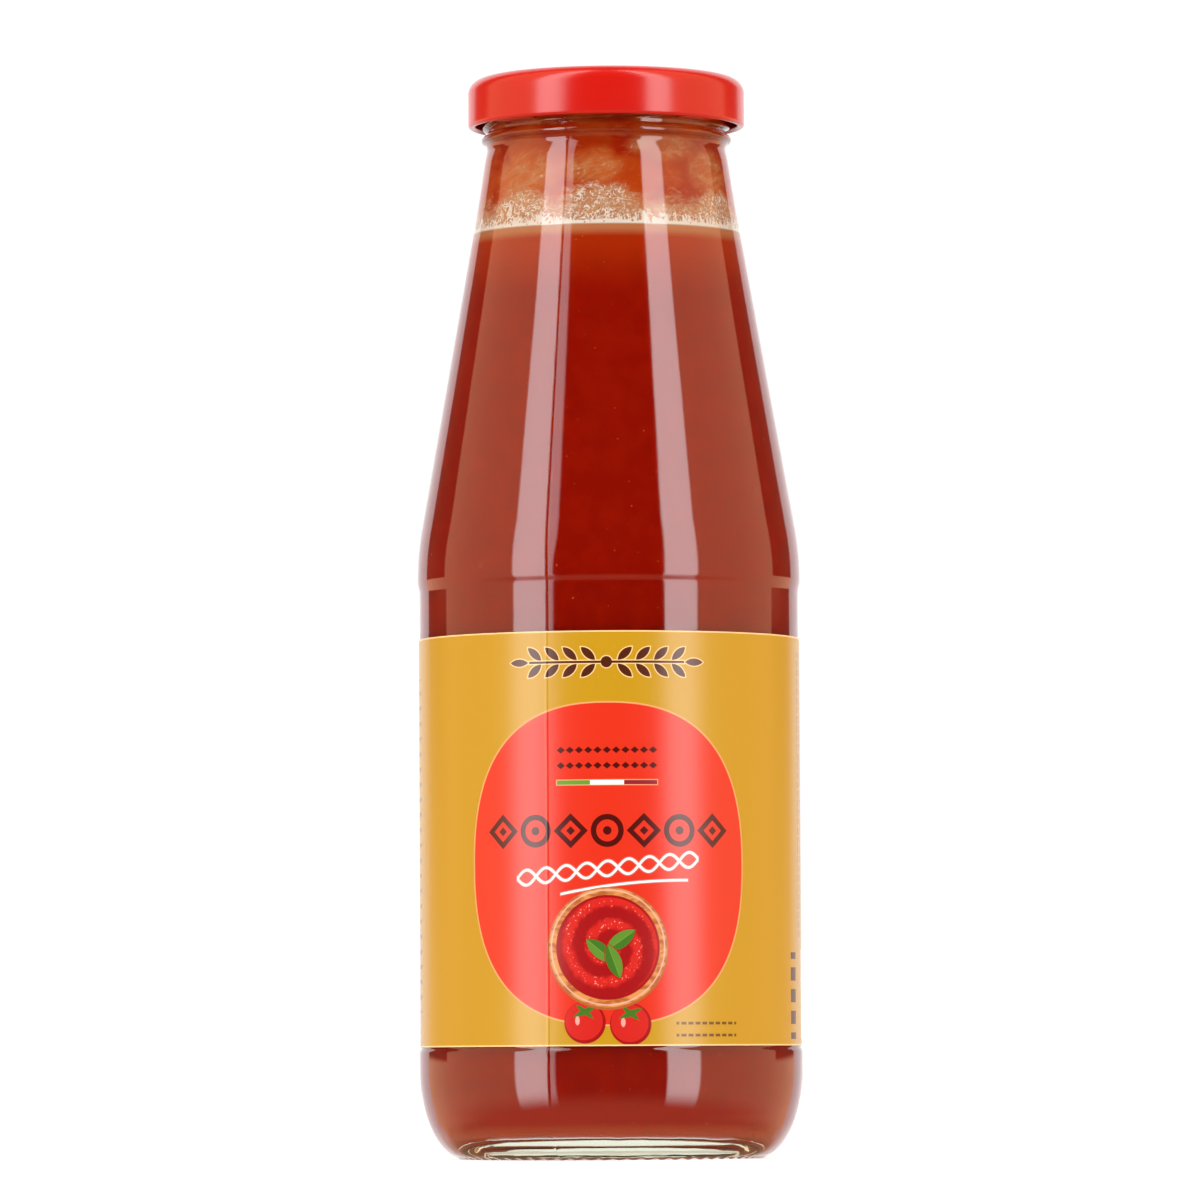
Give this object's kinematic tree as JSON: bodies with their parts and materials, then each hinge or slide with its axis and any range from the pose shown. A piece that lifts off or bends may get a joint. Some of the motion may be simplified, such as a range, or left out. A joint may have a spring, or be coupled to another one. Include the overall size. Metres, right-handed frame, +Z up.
{
  "type": "passata bottle",
  "caption": "Shut clear glass bottle of tomato passata with a long sloping shoulder, a red twist-off lid and a wrap-round paper label.",
  "frame": {"origin": "centre of the bottle's base, on the surface that it stands on", "axes": "+Z up along the bottle's axis, -Y out of the front of the label, +X to its right"},
  "size_m": [0.0784, 0.0784, 0.2215],
  "materials": {
    "glass": "clear, faintly green, gloss",
    "passata": "smooth wet tomato puree against the glass",
    "lacquered_steel": "gloss red lacquer",
    "label_paper": "coated paper, printed yellow and red, semi-gloss"
  },
  "bodies": {
    "root": {"glass_bottle": "glass", "passata": "passata", "lid": "lacquered_steel", "label": "label_paper"}
  },
  "joints": []
}
